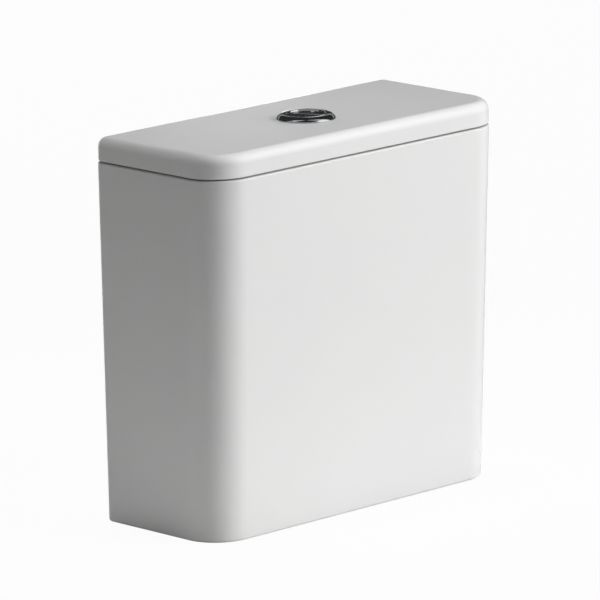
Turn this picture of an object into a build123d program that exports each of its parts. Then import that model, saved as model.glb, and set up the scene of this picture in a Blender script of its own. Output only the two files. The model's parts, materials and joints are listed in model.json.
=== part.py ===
from build123d import *
import math
import os

os.makedirs("parts", exist_ok=True)

# A close-coupled toilet cistern with a two-part push button, a flush valve and a fill valve.
# X runs to the right, Y runs to the wall behind the tank and Z runs up from the tank's foot.

# Tank
tank_width = 387.0  # across the rim
tank_depth = 168.0  # from the wall to the front of the rim
side_taper = 3.0  # each side draws in by this much down to the foot
front_lean = 14.5
rim_height = 352.0
tank_wall = 10.0
floor_thickness = 12.0
recess_height = 60.0  # from the foot up to the floor's underside
foot_band = 12.0
front_radius = 38.5
rear_radius = 8.5
inner_rear_radius = 15.0
foot_edge_radius = 2.5
rim_edge_radius = 2.0
cavity_edge_radius = 10.0
recess_edge_radius = 6.0
boss_height = 2.0  # ground seats under the floor
boss_margin = 4.0
wall_hole_radius = 4.0
wall_hole_spacing = 240.0
wall_hole_drop = 32.0  # from the rim down to the wall holes
cut_over = 5.0  # overrun of every cut

# Lid
lid_overhang = 0.5  # at each side
lid_setback = 1.0  # at the front
lid_height = 24.0
lid_slab = 10.0
lid_band = 14.0
lid_edge_radius = 9.5
lid_foot_radius = 1.0
lid_rear_radius = 10.5
lid_gap = 1.2  # shadow line between the lid's outer edge and the rim
lid_gap_depth = 5.0
lip_depth = 9.0  # how far the lip reaches into the tank
lip_thickness = 6.0
lip_clearance = 3.0

# Push button
button_travel = 5.0
bezel_radius = 29.0
bezel_rise = 5.0
bezel_edge = 0.8
bezel_crest_radius = 21.8
bezel_lip_drop = 1.4  # from the crest down to the inner lip
button_radius = 18.1
button_clearance = 0.3
button_thickness = 3.0
button_drop = 1.5  # from the bezel's crest down to the plates
button_dish = 0.6
split_offset = 4.0  # from the axis to the split, on the half button's side
split_gap = 0.7
sleeve_radius = 23.0
sleeve_length = 30.0
sleeve_chamfer = 1.0
lid_hole_clearance = 1.0
bezel_washer_thickness = 1.0
bezel_washer_width = 3.5
button_nut_radius = 31.0
button_nut_height = 8.0
nut_grip_radius = 3.0
nut_grips = 12
thread_clearance = 0.15
guide_thickness = 3.0
guide_drop = 17.5  # from the lid's top down to the guide's underside
guide_slack = 0.1
guide_rim_height = 8.0
guide_rim_width = 1.6
stem_radius = 3.2
stem_length = 25.0
stem_clearance = 0.3
rod_radius = 2.5
rod_clearance = 0.05
rod_socket = 16.0
rod_reach_x = 11.0  # from the valve's axis to each push rod
rod_reach_y = 5.0
spring_wire = 0.55
spring_radius = 4.6
spring_turns = 6

# Flush valve
gasket_front_gap = 5.5  # from the foot's front band back to the gasket
shank_radius = 29.8  # two-inch pipe thread
outlet_radius = 25.0
shank_end = 4.0  # height of every fitting's lower end above the foot
outlet_clearance = 2.2
base_washer_thickness = 3.0
base_washer_radius = 39.0
washer_clearance = 0.4
flange_radius = 42.0
flange_thickness = 5.0
seat_height = 6.0
seat_width = 3.0
shank_chamfer = 1.5
relief_width = 1.5  # groove where a thread ends
relief_depth = 0.6
back_nut_radius = 43.0
back_nut_height = 12.0
back_nut_sides = 8
gasket_radius = 46.0
gasket_tip_radius = 40.0
gasket_height = 28.0
gasket_edge_radius = 5.0
cage_radius = 41.0
cage_ring_width = 4.5
cage_ring_height = 6.0
cage_posts = 6
cage_post_width = 9.0
cage_window = 30.0
cage_plate = 4.0
cage_collar_height = 12.0
cage_collar_wall = 3.0
tube_radius = 15.0
tube_wall = 2.0
tube_clearance = 0.4
tube_tail = 8.0  # how far the tube reaches below the seat
overflow_drop = 66.0  # from the rim down to the tube's top
seal_radius = 32.0
seal_thickness = 3.0
seal_clamp_radius = 24.0
seal_clamp_thickness = 3.0
retainer_radius = 21.5
retainer_thickness = 4.0
fit_clearance = 0.1
column_offset = 24.0
column_width = 10.0
column_thickness = 4.0
rack_pitch = 4.0
rack_depth = 1.0
rack_notches = 14
rack_top_drop = 12.0
head_drop = 52.0  # from the rim down to the head's underside
bridge_width = 14.0
bridge_thickness = 6.0
bridge_overhang = 3.0
bridge_radius = 4.0
pivot_rise = 12.0  # from the bridge's top up to the pivot
lug_thickness = 4.0
lug_radius = 5.5
lug_gap = 2.0  # from a lever's side to its lug
pin_radius = 1.5
pin_clearance = 0.05
pin_head_radius = 2.8
pin_head_length = 1.5
pin_tail = 1.5
lever_width = 8.0
lever_gap = 2.0  # between the two levers
lever_hub_radius = 4.5
lever_pad_length = 14.5
lever_pad_thickness = 4.0
lift_arm = 20.0
lift_end_radius = 2.5
rod_gap = 0.3
hook_gap = 0.3
lost_motion = 0.9  # spare room over the half lever at the top of its swing
hook_thickness = 3.0
hook_reach = 5.0  # how far each hook reaches in past its lever's end
strap_gap = 1.5
bracket_height = 6.0
bracket_collar_wall = 3.4
bracket_collar_height = 12.0
bracket_drop = 6.0  # from the tube's top down to the collar
flush_float_radius = 20.5
flush_float_height = 45.0
flush_float_drop = 51.0  # from the tube's top down to the float's top
float_wall = 1.5
half_float_width = 30.0
half_float_depth = 22.0
half_float_height = 40.0
half_float_stop = 30.0  # from the cage's plate up to the float at rest
half_float_slack = 0.4
half_float_grip = 3.6  # how far the float's cheeks reach over the column's sides
half_float_corner = 4.0

# Coupling bolts
bolt_spacing = 150.0
bolt_radius = 4.0
bolt_hole_radius = 6.0
bolt_head_radius = 7.2
bolt_head_height = 5.5
bolt_chamfer = 0.8
seal_washer_radius = 13.0
seal_washer_thickness = 4.0
plate_washer_radius = 11.0
plate_washer_thickness = 1.5
bolt_nut_height = 6.5
bolt_clearance = 0.3
bolt_relief_depth = 0.5

# Fill valve
inlet_side_gap = 19.5  # from the foot's side band to the inlet's nut
inlet_y = 5.0
inlet_radius = 10.48  # half-inch pipe thread
inlet_bore_radius = 6.0
inlet_end = 10.0
inlet_hole_clearance = 1.5
inlet_chamfer = 1.0
inlet_flange_radius = 18.0
inlet_flange_thickness = 5.0
inlet_washer_thickness = 3.0
inlet_nut_radius = 19.0
inlet_nut_height = 10.0
riser_radius = 8.5
riser_drop = 102.0  # from the rim down to the riser's top
sleeve_inner_radius = 10.5
sleeve_outer_radius = 12.5
sleeve_slots = 4
sleeve_slot_width = 6.0
sleeve_slot_height = 18.0
sleeve_slot_rise = 3.0
stop_radius = 15.0
stop_height = 5.0
filter_radius = 5.8
filter_length = 22.0
filter_wall = 0.8
filter_slots = 6
filter_slot_width = 2.0
filter_end = 3.0
head_radius = 16.0
head_thickness = 12.0
diaphragm_radius = 13.6
diaphragm_thickness = 2.0
cap_height = 14.0
cap_wall = 2.0
cap_grips = 16
cap_grip_radius = 0.9
nozzle_radius = 1.5
nozzle_height = 2.8
arm_pivot_x = 6.0  # from the fill valve's axis to the arm's pivot
arm_pivot_rise = 10.0  # from the cap's top up to the pivot
arm_reach = 26.0  # from the pivot to the adjusting rod
arm_end = 7.0  # how far the fork reaches past the rod
arm_nose = 9.0
arm_width = 12.0
arm_thickness = 4.0
arm_hub_radius = 4.0
arm_lug_thickness = 2.5
arm_lug_gap = 0.5
arm_pin_radius = 1.2
fork_clearance = 0.6
fork_depth = 12.0
pilot_seal_radius = 2.5
pilot_seal_thickness = 2.2
float_travel = 10.0
float_radius = 34.0
float_height = 55.0
float_drop = 15.0  # from the riser's top down to the float's top
float_bore_clearance = 0.3
float_cup_wall = 2.0
float_edge_radius = 3.0
float_boss_radius = 4.5
float_boss_height = 5.0
float_boss_depth = 18.0
adjuster_radius = 2.0
adjuster_clearance = 0.05
adjuster_socket = 15.0
adjuster_knob_radius = 4.5
adjuster_knob_height = 6.0
clip_radius = 4.0
clip_height = 5.0
clip_gap = 2.0  # from the clip up to the arm
knob_gap = 2.4  # from the arm up to the knob

# Places that follow from the sizes above
foot_width = tank_width - 2 * side_taper
foot_depth = tank_depth - front_lean
lid_width = tank_width + 2 * lid_overhang
lid_depth = tank_depth - lid_setback
wall_y = tank_depth / 2
valve_y = wall_y - foot_depth + foot_band + gasket_front_gap + gasket_radius
inlet_x = -(foot_width / 2 - foot_band - inlet_side_gap - inlet_nut_radius)
overflow_height = rim_height - overflow_drop
head_height = rim_height - head_drop
riser_top = rim_height - riser_drop
floor_top = recess_height + floor_thickness
nut_seat = recess_height - boss_height
lid_top = rim_height + lid_height
slab_bottom = lid_top - lid_slab
flange_bottom = floor_top + base_washer_thickness
flange_top = flange_bottom + flange_thickness
seat_top = flange_top + seat_height
gasket_top = nut_seat - back_nut_height
gasket_bottom = gasket_top - gasket_height
cage_plate_bottom = flange_top + cage_ring_height + cage_window
cage_top = cage_plate_bottom + cage_plate
bridge_top = head_height + bridge_thickness
pivot_height = bridge_top + pivot_rise
lever_offset = (lever_gap + lever_width) / 2
lug_inner = lever_gap / 2 + lever_width + lug_gap
swing = math.asin(button_travel / rod_reach_x)
valve_travel = lift_arm * math.sin(swing)
bracket_bottom = overflow_height - bracket_drop - bracket_collar_height
strap_inner = lift_arm + lift_end_radius + strap_gap
strap_outer = strap_inner + hook_thickness
hook_inner = lift_arm - hook_reach
full_hook_height = pivot_height + lift_end_radius + hook_gap
half_hook_height = pivot_height + lift_end_radius + valve_travel + lost_motion
bezel_top = lid_top + bezel_rise
button_top = bezel_top - button_drop
button_bottom = button_top - button_thickness
bezel_bore_radius = button_radius + button_clearance
guide_bottom = lid_top - guide_drop
guide_top = guide_bottom + guide_thickness
stem_bottom = button_bottom - stem_length
rod_top = stem_bottom + rod_socket
rod_bottom = pivot_height + rod_gap
inlet_nut_bottom = nut_seat - inlet_nut_height
inlet_flange_bottom = floor_top + inlet_washer_thickness
inlet_flange_top = inlet_flange_bottom + inlet_flange_thickness
cap_bottom = riser_top + head_thickness
cap_top = cap_bottom + cap_height
arm_pivot_height = cap_top + arm_pivot_rise
adjuster_x = inlet_x + arm_pivot_x + arm_reach
float_top = riser_top - float_drop
float_bottom = float_top - float_height
adjuster_bottom = float_top + float_boss_height - adjuster_socket
knob_bottom = arm_pivot_height + arm_thickness / 2 + knob_gap
arm_swing = math.atan(float_travel / arm_reach)


def level(x, y, height):
    # A plane that lies flat at a height over the foot
    return Plane(origin=(x, y, height))


def upright(x, y):
    # A plane that faces the front, with the part's Z as its second direction
    return Plane(origin=(x, y, 0), x_dir=(1, 0, 0), z_dir=(0, -1, 0))


def vertical_axis(x, y):
    return Axis((x, y, 0), (0, 0, 1))


def width_at(height):
    return foot_width + (tank_width - foot_width) * height / rim_height


def depth_at(height):
    return foot_depth + (tank_depth - foot_depth) * height / rim_height


def tank_outline(width, depth, back_y, front_corner, rear_corner):
    # A rectangle against the wall side, with large front corners and small rear ones
    with Locations((0, back_y - depth / 2)):
        Rectangle(width, depth)
    fillet(vertices().sort_by(Axis.Y)[:2], front_corner)
    fillet(vertices().sort_by(Axis.Y)[-2:], rear_corner)


def ring(outer, inner):
    Circle(outer)
    Circle(inner, mode=Mode.SUBTRACT)


# Tank
bolt_places = [(side * bolt_spacing / 2, valve_y) for side in (-1, 1)]

with BuildPart() as tank_body:
    # The walls run on past the wall side, which is then cut off flat
    for height in (0, rim_height):
        with BuildSketch(Plane.XY.offset(height)):
            with Locations((0, wall_y + (cut_over - depth_at(height)) / 2)):
                Rectangle(width_at(height), depth_at(height) + cut_over)
            fillet(vertices().sort_by(Axis.Y)[:2], front_radius)
    loft()
    split(bisect_by=Plane(origin=(0, wall_y, 0), z_dir=(0, -1, 0)))
    fillet(
        edges().filter_by_position(Axis.Y, wall_y, wall_y).sort_by(SortBy.LENGTH)[-4:].sort_by(Axis.X)[::3],
        rear_radius,
    )
    fillet(edges().group_by(Axis.Z)[0], foot_edge_radius)
    fillet(edges().group_by(Axis.Z)[-1], rim_edge_radius)
    # Water space
    for height in (floor_top, rim_height + cut_over):
        with BuildSketch(Plane.XY.offset(height)):
            tank_outline(
                width_at(height) - 2 * tank_wall,
                depth_at(height) - 2 * tank_wall,
                wall_y - tank_wall,
                front_radius - tank_wall,
                inner_rear_radius,
            )
    loft(mode=Mode.SUBTRACT)
    fillet(edges().filter_by_position(Axis.Z, floor_top, floor_top), cavity_edge_radius)
    # Recess under the floor, which takes the fittings
    with BuildSketch(Plane.XY):
        tank_outline(
            foot_width - 2 * foot_band,
            foot_depth - 2 * foot_band,
            wall_y - foot_band,
            front_radius - foot_band,
            inner_rear_radius,
        )
    extrude(amount=recess_height, mode=Mode.SUBTRACT)
    fillet(edges().filter_by_position(Axis.Z, recess_height, recess_height), recess_edge_radius)
    # Ground seats for the nuts and washers
    with BuildSketch(Plane.XY.offset(recess_height)):
        with Locations((0, valve_y)):
            Circle(back_nut_radius + boss_margin)
        with Locations((inlet_x, inlet_y)):
            Circle(inlet_nut_radius + boss_margin)
        with Locations(*bolt_places):
            Circle(seal_washer_radius + boss_margin)
    extrude(amount=-boss_height)
    # Holes through the floor
    with BuildSketch(Plane.XY.offset(nut_seat)):
        with Locations((0, valve_y)):
            Circle(shank_radius + outlet_clearance)
        with Locations((inlet_x, inlet_y)):
            Circle(inlet_radius + inlet_hole_clearance)
        with Locations(*bolt_places):
            Circle(bolt_hole_radius)
    extrude(amount=floor_top - nut_seat, mode=Mode.SUBTRACT)
    # Screw holes in the back wall
    with BuildSketch(upright(0, wall_y)):
        for side in (-1, 1):
            with Locations((side * wall_hole_spacing / 2, rim_height - wall_hole_drop)):
                Circle(wall_hole_radius)
    extrude(amount=tank_wall, mode=Mode.SUBTRACT)
tank_body.part.label = "tank_body"
export_step(tank_body.part, "parts/tank_body.step")

# Lid
mouth_width = tank_width - 2 * tank_wall
mouth_depth = tank_depth - 2 * tank_wall
lip_corner = front_radius - tank_wall - lip_clearance

with BuildPart() as tank_lid:
    with BuildSketch(Plane.XY.offset(rim_height + lid_gap)):
        tank_outline(lid_width, lid_depth, wall_y, front_radius, lid_rear_radius)
    extrude(amount=lid_height - lid_gap)
    fillet(edges().group_by(Axis.Z)[-1], lid_edge_radius)
    fillet(edges().group_by(Axis.Z)[0], lid_foot_radius)
    # Seat that stands on the rim, set back so that a shadow line shows
    with BuildSketch(Plane.XY.offset(rim_height)):
        tank_outline(
            lid_width - 2 * lid_gap_depth,
            lid_depth - 2 * lid_gap_depth,
            wall_y - lid_gap_depth,
            front_radius - lid_gap_depth,
            lid_rear_radius - lid_gap_depth,
        )
    extrude(amount=lid_gap)
    with BuildSketch(Plane.XY.offset(rim_height)):
        tank_outline(
            lid_width - 2 * lid_band,
            lid_depth - 2 * lid_band,
            wall_y - lid_band,
            front_radius - lid_band,
            inner_rear_radius,
        )
    extrude(amount=lid_height - lid_slab, mode=Mode.SUBTRACT)
    # Lip that keeps the lid in the tank's mouth
    with BuildSketch(Plane.XY.offset(slab_bottom)):
        tank_outline(
            mouth_width - 2 * lip_clearance,
            mouth_depth - 2 * lip_clearance,
            wall_y - tank_wall - lip_clearance,
            lip_corner,
            inner_rear_radius,
        )
    extrude(amount=-(slab_bottom - rim_height + lip_depth))
    with BuildSketch(Plane.XY.offset(slab_bottom)):
        tank_outline(
            mouth_width - 2 * (lip_clearance + lip_thickness),
            mouth_depth - 2 * (lip_clearance + lip_thickness),
            wall_y - tank_wall - lip_clearance - lip_thickness,
            lip_corner - lip_thickness,
            inner_rear_radius - lip_thickness,
        )
    extrude(amount=-(slab_bottom - rim_height + lip_depth), mode=Mode.SUBTRACT)
    with BuildSketch(level(0, valve_y, lid_top)):
        Circle(sleeve_radius + lid_hole_clearance)
    extrude(amount=-lid_slab, mode=Mode.SUBTRACT)
tank_lid.part.label = "tank_lid"
export_step(tank_lid.part, "parts/tank_lid.step")

# Push button: bezel with its threaded sleeve
with BuildPart() as button_bezel:
    with BuildSketch(upright(0, valve_y)):
        with BuildLine():
            sleeve_end = lid_top - sleeve_length
            Polyline(
                (bezel_bore_radius, sleeve_end),
                (sleeve_radius - sleeve_chamfer, sleeve_end),
                (sleeve_radius, sleeve_end + sleeve_chamfer),
                (sleeve_radius, lid_top),
                (bezel_radius, lid_top),
                (bezel_radius, lid_top + bezel_edge),
            )
            TangentArc(
                (bezel_crest_radius, bezel_top),
                (bezel_radius, lid_top + bezel_edge),
                tangent=(1, 0),
            )
            Polyline(
                (bezel_crest_radius, bezel_top),
                (bezel_bore_radius, bezel_top - bezel_lip_drop),
                (bezel_bore_radius, sleeve_end),
            )
        make_face()
    revolve(axis=vertical_axis(0, valve_y))
button_bezel.part.label = "button_bezel"
export_step(button_bezel.part, "parts/button_bezel.step")

with BuildPart() as bezel_washer:
    with BuildSketch(level(0, valve_y, slab_bottom)):
        ring(sleeve_radius + bezel_washer_width, sleeve_radius + thread_clearance)
    extrude(amount=-bezel_washer_thickness)
bezel_washer.part.label = "bezel_washer"
export_step(bezel_washer.part, "parts/bezel_washer.step")

with BuildPart() as button_nut:
    with BuildSketch(level(0, valve_y, slab_bottom - bezel_washer_thickness)):
        Circle(button_nut_radius)
        with PolarLocations(button_nut_radius + nut_grip_radius / 2, nut_grips):
            Circle(nut_grip_radius, mode=Mode.SUBTRACT)
        Circle(sleeve_radius + thread_clearance, mode=Mode.SUBTRACT)
    extrude(amount=-button_nut_height)
button_nut.part.label = "button_nut"
export_step(button_nut.part, "parts/button_nut.step")

# Guide plate inside the sleeve, which the stems slide in and the springs stand on
stem_places = {"full": (-rod_reach_x, -rod_reach_y), "half": (rod_reach_x, rod_reach_y)}

with BuildPart() as button_guide:
    with BuildSketch(level(0, valve_y, guide_bottom)):
        Circle(bezel_bore_radius - guide_slack)
        with Locations(*stem_places.values()):
            Circle(stem_radius + stem_clearance, mode=Mode.SUBTRACT)
    extrude(amount=guide_thickness)
    with BuildSketch(level(0, valve_y, guide_bottom)):
        ring(bezel_bore_radius - guide_slack, bezel_bore_radius - guide_slack - guide_rim_width)
    extrude(amount=-guide_rim_height)
button_guide.part.label = "button_guide"
export_step(button_guide.part, "parts/button_guide.step")

# The two plates are one dished disc, split square to the line of the stems
def split_plane(height):
    # A level plane whose X runs to the half button's stem
    return Plane(
        origin=(0, valve_y, height),
        x_dir=(rod_reach_x, rod_reach_y, 0),
        z_dir=(0, 0, 1),
    )


def button_disc():
    # Profile of the dished disc, right of the axis
    return Polygon(
        (0, button_bottom),
        (button_radius, button_bottom),
        (button_radius, button_top),
        (button_radius - button_dish, button_top),
        (0, button_top - button_dish),
        align=None,
    )


with BuildPart() as full_flush_button:
    with BuildSketch(upright(0, valve_y)):
        button_disc()
    revolve(axis=vertical_axis(0, valve_y))
    with BuildSketch(split_plane(button_bottom)):
        with Locations((split_offset - split_gap / 2 + button_radius, 0)):
            Rectangle(2 * button_radius, 2 * button_radius)
    extrude(amount=button_thickness, mode=Mode.SUBTRACT)
    with BuildSketch(level(0, valve_y, button_bottom)):
        with Locations(stem_places["full"]):
            Circle(stem_radius)
    extrude(amount=-stem_length)
    with BuildSketch(level(0, valve_y, stem_bottom)):
        with Locations(stem_places["full"]):
            Circle(rod_radius + rod_clearance)
    extrude(amount=rod_socket, mode=Mode.SUBTRACT)
full_flush_button.part.label = "full_flush_button"
export_step(full_flush_button.part, "parts/full_flush_button.step")

with BuildPart() as half_flush_button:
    with BuildSketch(upright(0, valve_y)):
        button_disc()
    revolve(axis=vertical_axis(0, valve_y))
    with BuildSketch(split_plane(button_bottom)):
        with Locations((split_offset + split_gap / 2 + button_radius, 0)):
            Rectangle(2 * button_radius, 2 * button_radius)
    extrude(amount=button_thickness, mode=Mode.INTERSECT)
    with BuildSketch(level(0, valve_y, button_bottom)):
        with Locations(stem_places["half"]):
            Circle(stem_radius)
    extrude(amount=-stem_length)
    with BuildSketch(level(0, valve_y, stem_bottom)):
        with Locations(stem_places["half"]):
            Circle(rod_radius + rod_clearance)
    extrude(amount=rod_socket, mode=Mode.SUBTRACT)
half_flush_button.part.label = "half_flush_button"
export_step(half_flush_button.part, "parts/half_flush_button.step")

# Push rods, each with a domed tip over its lever
for name, (rod_x, rod_y) in stem_places.items():
    with BuildPart() as push_rod:
        with BuildSketch(upright(rod_x, valve_y + rod_y)):
            with BuildLine():
                Polyline(
                    (0, rod_bottom),
                    (0, rod_top),
                    (rod_radius, rod_top),
                    (rod_radius, rod_bottom + rod_radius),
                )
                RadiusArc((rod_radius, rod_bottom + rod_radius), (0, rod_bottom), rod_radius)
            make_face()
        revolve(axis=vertical_axis(rod_x, valve_y + rod_y))
    push_rod.part.label = name + "_push_rod"
    export_step(push_rod.part, "parts/" + name + "_push_rod.step")

# Return springs, each one unbroken wire from the guide up to its button
spring_bottom = guide_top + spring_wire + fit_clearance
spring_top = button_bottom - spring_wire - fit_clearance
spring_rise = (spring_top - spring_bottom) / spring_turns
arcs_per_turn = 4


def helix_point(x, y, turn):
    angle = 2 * math.pi * turn
    return Vector(
        x + spring_radius * math.cos(angle),
        y + spring_radius * math.sin(angle),
        spring_bottom + spring_rise * turn,
    )


print("spring: least gap between turns", round(spring_rise - 2 * spring_wire, 2), "mm")

for name, (rod_x, rod_y) in stem_places.items():
    with BuildPart() as button_spring:
        with BuildLine() as coil:
            heading = Vector(0, 2 * math.pi * spring_radius, spring_rise)
            for step in range(spring_turns * arcs_per_turn):
                arc = TangentArc(
                    helix_point(rod_x, valve_y + rod_y, step / arcs_per_turn),
                    helix_point(rod_x, valve_y + rod_y, (step + 1) / arcs_per_turn),
                    tangent=heading,
                )
                heading = arc % 1
        with BuildSketch(Plane(origin=coil.line @ 0, z_dir=coil.line % 0)):
            Circle(spring_wire)
        sweep()
    button_spring.part.label = name + "_button_spring"
    export_step(button_spring.part, "parts/" + name + "_button_spring.step")

# Flush valve: base with its seat and threaded shank
with BuildPart() as valve_base:
    with BuildSketch(upright(0, valve_y)):
        Polygon(
            (outlet_radius, shank_end),
            (shank_radius - shank_chamfer, shank_end),
            (shank_radius, shank_end + shank_chamfer),
            (shank_radius, gasket_bottom - relief_width),
            (shank_radius - relief_depth, gasket_bottom - relief_width),
            (shank_radius - relief_depth, gasket_bottom),
            (shank_radius, gasket_bottom),
            (shank_radius, flange_bottom),
            (flange_radius, flange_bottom),
            (flange_radius, flange_top),
            (outlet_radius + seat_width + seat_height / 2, flange_top),
            (outlet_radius + seat_width, seat_top),
            (outlet_radius, seat_top),
            align=None,
        )
    revolve(axis=vertical_axis(0, valve_y))
valve_base.part.label = "valve_base"
export_step(valve_base.part, "parts/valve_base.step")

with BuildPart() as base_washer:
    with BuildSketch(level(0, valve_y, floor_top)):
        ring(base_washer_radius, shank_radius + washer_clearance)
    extrude(amount=base_washer_thickness)
base_washer.part.label = "base_washer"
export_step(base_washer.part, "parts/base_washer.step")

with BuildPart() as valve_back_nut:
    with BuildSketch(level(0, valve_y, nut_seat)):
        RegularPolygon(back_nut_radius, back_nut_sides)
        Circle(shank_radius + thread_clearance, mode=Mode.SUBTRACT)
    extrude(amount=-back_nut_height)
valve_back_nut.part.label = "valve_back_nut"
export_step(valve_back_nut.part, "parts/valve_back_nut.step")

with BuildPart() as coupling_gasket:
    with BuildSketch(upright(0, valve_y)):
        Polygon(
            (shank_radius + fit_clearance, gasket_bottom),
            (gasket_tip_radius, gasket_bottom),
            (gasket_radius, gasket_top),
            (shank_radius + fit_clearance, gasket_top),
            align=None,
        )
        fillet(vertices().group_by(Axis.X)[-1], gasket_edge_radius)
        fillet(vertices().group_by(Axis.Y)[0].sort_by(Axis.X)[-1], gasket_edge_radius)
    revolve(axis=vertical_axis(0, valve_y))
coupling_gasket.part.label = "coupling_gasket"
export_step(coupling_gasket.part, "parts/coupling_gasket.step")

# Cage: ring, posts, plate with its guide collar, and the two columns that carry the head
with BuildPart() as valve_cage:
    with BuildSketch(level(0, valve_y, flange_top)):
        ring(cage_radius, cage_radius - cage_ring_width)
    extrude(amount=cage_ring_height)
    with BuildSketch(level(0, valve_y, flange_top + cage_ring_height)):
        with PolarLocations(cage_radius - cage_ring_width / 2, cage_posts):
            Rectangle(cage_ring_width, cage_post_width)
        Circle(cage_radius, mode=Mode.INTERSECT)
    extrude(amount=cage_window)
    with BuildSketch(level(0, valve_y, cage_plate_bottom)):
        Circle(cage_radius)
    extrude(amount=cage_plate)
    with BuildSketch(level(0, valve_y, cage_top)):
        Circle(tube_radius + tube_clearance + cage_collar_wall)
    extrude(amount=cage_collar_height)
    with BuildSketch(level(0, valve_y, cage_top)):
        for side in (-1, 1):
            with Locations((0, side * column_offset)):
                Rectangle(column_width, column_thickness)
    extrude(amount=head_height - cage_top)
    # Notches of the height adjustment
    with BuildSketch(upright(0, valve_y - column_offset - column_thickness / 2)):
        for notch in range(rack_notches):
            with Locations((0, head_height - rack_top_drop - notch * rack_pitch)):
                Rectangle(column_width, rack_pitch / 2)
    extrude(amount=-rack_depth, mode=Mode.SUBTRACT)
    with BuildSketch(level(0, valve_y, cage_plate_bottom)):
        Circle(tube_radius + tube_clearance)
    extrude(amount=cage_plate + cage_collar_height, mode=Mode.SUBTRACT)
valve_cage.part.label = "valve_cage"
export_step(valve_cage.part, "parts/valve_cage.step")

# Head: a bridge over the tube, with the two lugs of the pivot
bridge_length = 2 * column_offset + column_thickness + 2 * bridge_overhang

with BuildPart() as valve_head:
    with BuildSketch(level(0, valve_y, head_height)):
        RectangleRounded(bridge_width, bridge_length, bridge_radius)
    extrude(amount=bridge_thickness)
    for lug_y in (lug_inner + lug_thickness, -lug_inner):
        with BuildSketch(upright(0, valve_y + lug_y)):
            with Locations((0, pivot_height)):
                Circle(lug_radius)
            with Locations((0, bridge_top + pivot_rise / 2)):
                Rectangle(2 * lug_radius, pivot_rise)
            with Locations((0, pivot_height)):
                Circle(pin_radius + pin_clearance, mode=Mode.SUBTRACT)
        extrude(amount=lug_thickness)
valve_head.part.label = "valve_head"
export_step(valve_head.part, "parts/valve_head.step")

with BuildPart() as lever_pin:
    with BuildSketch(upright(0, valve_y + lug_inner + lug_thickness + pin_tail)):
        with Locations((0, pivot_height)):
            Circle(pin_radius)
    extrude(amount=2 * (lug_inner + lug_thickness) + pin_tail)
    with BuildSketch(upright(0, valve_y - lug_inner - lug_thickness)):
        with Locations((0, pivot_height)):
            Circle(pin_head_radius)
    extrude(amount=pin_head_length)
lever_pin.part.label = "lever_pin"
export_step(lever_pin.part, "parts/lever_pin.step")

# Rocking levers: a push rod presses the pad side, and the other end lifts the tube
for name, side in (("full", 1), ("half", -1)):
    with BuildPart() as flush_lever:
        with BuildSketch(upright(0, valve_y - side * lever_offset + lever_width / 2)):
            with Locations((0, pivot_height)):
                Circle(lever_hub_radius)
            with Locations((-side * lever_pad_length / 2, pivot_height - lever_pad_thickness / 2)):
                Rectangle(lever_pad_length, lever_pad_thickness)
            with Locations((side * lift_arm / 2, pivot_height)):
                Rectangle(lift_arm, 2 * lift_end_radius)
            with Locations((side * lift_arm, pivot_height)):
                Circle(lift_end_radius)
            with Locations((0, pivot_height)):
                Circle(pin_radius + pin_clearance, mode=Mode.SUBTRACT)
        extrude(amount=lever_width)
    flush_lever.part.label = name + "_flush_lever"
    export_step(flush_lever.part, "parts/" + name + "_flush_lever.step")

# Overflow tube, which carries the seal on a flange
with BuildPart() as overflow_tube:
    with BuildSketch(level(0, valve_y, seat_top - tube_tail)):
        ring(tube_radius, tube_radius - tube_wall)
    extrude(amount=overflow_height - seat_top + tube_tail)
    with BuildSketch(level(0, valve_y, seat_top + seal_thickness)):
        ring(seal_clamp_radius, tube_radius - tube_wall)
    extrude(amount=seal_clamp_thickness)
overflow_tube.part.label = "overflow_tube"
export_step(overflow_tube.part, "parts/overflow_tube.step")

with BuildPart() as flush_seal:
    with BuildSketch(level(0, valve_y, seat_top)):
        ring(seal_radius, tube_radius + fit_clearance)
    extrude(amount=seal_thickness)
flush_seal.part.label = "flush_seal"
export_step(flush_seal.part, "parts/flush_seal.step")

with BuildPart() as seal_retainer:
    with BuildSketch(level(0, valve_y, seat_top)):
        ring(retainer_radius, tube_radius + fit_clearance)
    extrude(amount=-retainer_thickness)
seal_retainer.part.label = "seal_retainer"
export_step(seal_retainer.part, "parts/seal_retainer.step")

# Bracket clipped round the tube, with a hook over each lever's end
with BuildPart() as lift_bracket:
    with BuildSketch(level(0, valve_y, bracket_bottom)):
        Circle(tube_radius + fit_clearance + bracket_collar_wall)
    extrude(amount=bracket_collar_height)
    for side, hook_height in ((1, full_hook_height), (-1, half_hook_height)):
        with BuildSketch(upright(0, valve_y - side * lever_offset + lever_width / 2)):
            Polygon(
                (0, bracket_bottom),
                (side * strap_outer, bracket_bottom),
                (side * strap_outer, hook_height + hook_thickness),
                (side * hook_inner, hook_height + hook_thickness),
                (side * hook_inner, hook_height),
                (side * strap_inner, hook_height),
                (side * strap_inner, bracket_bottom + bracket_height),
                (0, bracket_bottom + bracket_height),
                align=None,
            )
        extrude(amount=lever_width)
    with BuildSketch(level(0, valve_y, bracket_bottom)):
        Circle(tube_radius + fit_clearance)
    extrude(amount=bracket_collar_height, mode=Mode.SUBTRACT)
lift_bracket.part.label = "lift_bracket"
export_step(lift_bracket.part, "parts/lift_bracket.step")

# Float clipped on the tube, an inverted cup
flush_float_top = overflow_height - flush_float_drop
flush_float_bottom = flush_float_top - flush_float_height
flush_float_bore = tube_radius + fit_clearance

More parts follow.
